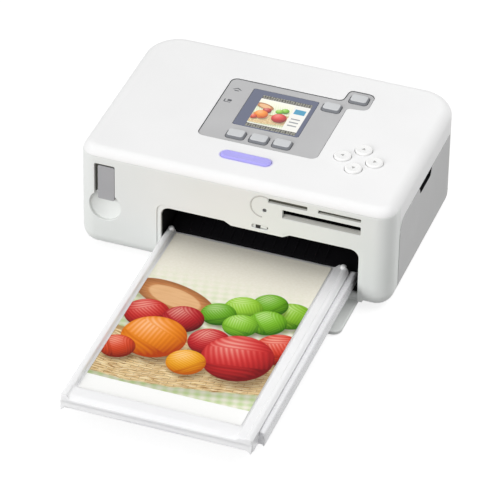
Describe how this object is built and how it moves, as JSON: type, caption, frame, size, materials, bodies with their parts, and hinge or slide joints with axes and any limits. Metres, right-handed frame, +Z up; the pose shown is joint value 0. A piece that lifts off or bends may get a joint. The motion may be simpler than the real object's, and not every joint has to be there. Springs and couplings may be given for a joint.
{
  "type": "compact photo printer",
  "caption": "Compact photo printer with screen, keys, card slots, hinged side door and front cover, and a paper cassette that holds a finished print.",
  "frame": {"origin": "on the table under the centre of the printer and its cassette together", "axes": "+X to the user's right, -Y to the front where the cassette goes in, +Z up"},
  "size_m": [0.178, 0.27, 0.0673],
  "materials": {
    "white_shell": "fine moulded matt white",
    "front_shell": "satin warm grey-white",
    "side_grey": "fine texture, mid grey",
    "rear_grey": "fine texture, light grey",
    "silver_panel": "silver satin paint",
    "screen_glass": "polished acrylic over a printed border",
    "screen_module": "frame of the screen",
    "key_silver": "silver paint under a clear coat",
    "key_lavender": "lavender moulding",
    "key_white": "white moulding",
    "black_plastic": "black moulding",
    "grip_grey": "grey moulding",
    "lamp_grey": "smoked light pipe",
    "cassette_clear": "milky translucent moulding",
    "paper_white": "coated blank paper",
    "photo_print": "glossy dye print",
    "steel": "bright steel",
    "zinc_sheet": "zinc-plated sheet",
    "aluminium": "extruded, mill finish",
    "head_ceramic": "glazed alumina",
    "gear_nylon": "natural nylon",
    "brass": "turned brass",
    "rubber_black": "ground rubber",
    "ribbon_yellow": "wound dye film",
    "ribbon_violet": "wound used film",
    "circuit_board": "solder resist on glass laminate"
  },
  "bodies": {
    "printer": {"top_cover": "white_shell", "front_panel": "front_shell", "left_side_panel": "side_grey", "rear_panel": "rear_grey", "base_tray": "rear_grey", "rubber_feet": "rubber_black", "case_screws": "steel", "door_hinge_pins": "steel", "cover_latch": "black_plastic", "control_panel": "silver_panel", "lcd_window": "screen_glass", "lcd_module": "screen_module", "key_board": "circuit_board", "card_socket": "black_plastic", "access_lamp": "lamp_grey", "cable_reel_case": "grip_grey", "cassette_bay": "black_plastic", "left_chassis_plate": "zinc_sheet", "right_chassis_plate": "zinc_sheet", "chassis_tie_bars": "zinc_sheet", "paper_guide": "black_plastic", "drive_motor": "zinc_sheet", "head_pivot_rod": "steel", "ribbon_case": "black_plastic", "ribbon_film": "ribbon_violet", "main_board": "circuit_board", "dc_jack": "black_plastic", "usb_port": "steel"},
    "ink_door": {"ink_door": "side_grey"},
    "front_cover": {"front_cover": "front_shell"},
    "soft_key_left": {"soft_key_left": "key_silver"},
    "soft_key_middle": {"soft_key_middle": "key_silver"},
    "soft_key_right": {"soft_key_right": "key_silver"},
    "menu_key": {"menu_key": "key_silver"},
    "power_key": {"power_key": "key_silver"},
    "print_key": {"print_key": "key_lavender"},
    "arrow_key_up": {"arrow_key_up": "key_white"},
    "arrow_key_down": {"arrow_key_down": "key_white"},
    "arrow_key_left": {"arrow_key_left": "key_white"},
    "arrow_key_right": {"arrow_key_right": "key_white"},
    "usb_plug": {"usb_plug_grip": "grip_grey"},
    "cassette": {"cassette_tray": "cassette_clear", "cassette_lid": "cassette_clear", "lift_spring": "steel", "paper_stack": "paper_white", "printed_sheet": "photo_print"},
    "lift_plate": {"lift_plate": "steel"},
    "platen": {"platen_roller": "rubber_black", "platen_gear": "gear_nylon"},
    "capstan": {"capstan_roller": "steel", "capstan_gear": "gear_nylon"},
    "pinch_roller": {"pinch_roller": "rubber_black"},
    "pickup_roller": {"pickup_roller": "rubber_black"},
    "idler_gear": {"idler_gear": "gear_nylon"},
    "motor_pinion": {"motor_pinion": "brass"},
    "print_head": {"print_head": "head_ceramic", "heat_sink": "aluminium", "head_arms": "steel"},
    "supply_spool": {"supply_spool": "ribbon_yellow"},
    "takeup_spool": {"takeup_spool": "ribbon_violet"}
  },
  "joints": [
    {"name": "ink_door_hinge", "type": "hinge", "parent": "printer", "child": "ink_door", "pos_m": [0.0872, 0.074, 0.01], "axis": [0, 1, 0], "range_deg": [0, 90]},
    {"name": "front_cover_hinge", "type": "hinge", "parent": "printer", "child": "front_cover", "pos_m": [0.0149, 0.018, 0.0046], "axis": [-1, 0, 0], "range_deg": [0, 11]},
    {"name": "soft_key_left_press", "type": "slide", "parent": "printer", "child": "soft_key_left", "axis": [0, 0, -1], "range_m": [0, 0.0006], "stiffness_N_per_m": 600, "springref_m": -0.0005},
    {"name": "soft_key_middle_press", "type": "slide", "parent": "printer", "child": "soft_key_middle", "axis": [0, 0, -1], "range_m": [0, 0.0006], "stiffness_N_per_m": 600, "springref_m": -0.0005},
    {"name": "soft_key_right_press", "type": "slide", "parent": "printer", "child": "soft_key_right", "axis": [0, 0, -1], "range_m": [0, 0.0006], "stiffness_N_per_m": 600, "springref_m": -0.0005},
    {"name": "menu_key_press", "type": "slide", "parent": "printer", "child": "menu_key", "axis": [0, 0, -1], "range_m": [0, 0.0006], "stiffness_N_per_m": 600, "springref_m": -0.0005},
    {"name": "power_key_press", "type": "slide", "parent": "printer", "child": "power_key", "axis": [0, 0, -1], "range_m": [0, 0.0006], "stiffness_N_per_m": 600, "springref_m": -0.0005},
    {"name": "print_key_press", "type": "slide", "parent": "printer", "child": "print_key", "axis": [0, 0, -1], "range_m": [0, 0.0006], "stiffness_N_per_m": 600, "springref_m": -0.0005},
    {"name": "arrow_key_up_press", "type": "slide", "parent": "printer", "child": "arrow_key_up", "axis": [0, 0, -1], "range_m": [0, 0.0006], "stiffness_N_per_m": 600, "springref_m": -0.0005},
    {"name": "arrow_key_down_press", "type": "slide", "parent": "printer", "child": "arrow_key_down", "axis": [0, 0, -1], "range_m": [0, 0.0006], "stiffness_N_per_m": 600, "springref_m": -0.0005},
    {"name": "arrow_key_left_press", "type": "slide", "parent": "printer", "child": "arrow_key_left", "axis": [0, 0, -1], "range_m": [0, 0.0006], "stiffness_N_per_m": 600, "springref_m": -0.0005},
    {"name": "arrow_key_right_press", "type": "slide", "parent": "printer", "child": "arrow_key_right", "axis": [0, 0, -1], "range_m": [0, 0.0006], "stiffness_N_per_m": 600, "springref_m": -0.0005},
    {"name": "usb_plug_slide", "type": "slide", "parent": "printer", "child": "usb_plug", "axis": [0, -1, 0], "range_m": [0, 0.012]},
    {"name": "cassette_slide", "type": "slide", "parent": "printer", "child": "cassette", "axis": [0, -1, 0], "range_m": [0, 0.05]},
    {"name": "lift_plate_hinge", "type": "hinge", "parent": "cassette", "child": "lift_plate", "pos_m": [0.0094, -0.012, 0.0104], "axis": [-1, 0, 0], "range_deg": [0, 1], "stiffness_Nm_per_rad": 0.5, "springref_deg": -1.72, "deforming": ["lift_spring"]},
    {"name": "platen_spin", "type": "hinge", "parent": "printer", "child": "platen", "pos_m": [0, 0.08, 0.02], "axis": [1, 0, 0], "continuous": true},
    {"name": "capstan_spin", "type": "hinge", "parent": "printer", "child": "capstan", "pos_m": [0, 0.06413, 0.0245], "axis": [1, 0, 0], "continuous": true},
    {"name": "pinch_spin", "type": "hinge", "parent": "printer", "child": "pinch_roller", "pos_m": [0, 0.06413, 0.0178], "axis": [1, 0, 0], "continuous": true},
    {"name": "pickup_spin", "type": "hinge", "parent": "printer", "child": "pickup_roller", "pos_m": [0, 0.044, 0.0204], "axis": [1, 0, 0], "continuous": true},
    {"name": "idler_spin", "type": "hinge", "parent": "printer", "child": "idler_gear", "pos_m": [0, 0.09892, 0.01528], "axis": [1, 0, 0], "continuous": true},
    {"name": "pinion_spin", "type": "hinge", "parent": "printer", "child": "motor_pinion", "pos_m": [0, 0.11092, 0.01528], "axis": [1, 0, 0], "continuous": true},
    {"name": "supply_spin", "type": "hinge", "parent": "printer", "child": "supply_spool", "pos_m": [0, 0.063, 0.038], "axis": [1, 0, 0], "continuous": true},
    {"name": "takeup_spin", "type": "hinge", "parent": "printer", "child": "takeup_spool", "pos_m": [0, 0.097, 0.038], "axis": [1, 0, 0], "continuous": true},
    {"name": "head_lift", "type": "hinge", "parent": "printer", "child": "print_head", "pos_m": [0.01, 0.111, 0.046], "axis": [-1, 0, 0], "range_deg": [0, 5]}
  ],
  "couplings": [
    {"joint": "capstan_spin", "follows": "platen_spin", "ratio": -2.6667},
    {"joint": "pinch_spin", "follows": "platen_spin", "ratio": 2.3529},
    {"joint": "idler_spin", "follows": "platen_spin", "ratio": -1.6},
    {"joint": "pinion_spin", "follows": "platen_spin", "ratio": 2.6667}
  ]
}
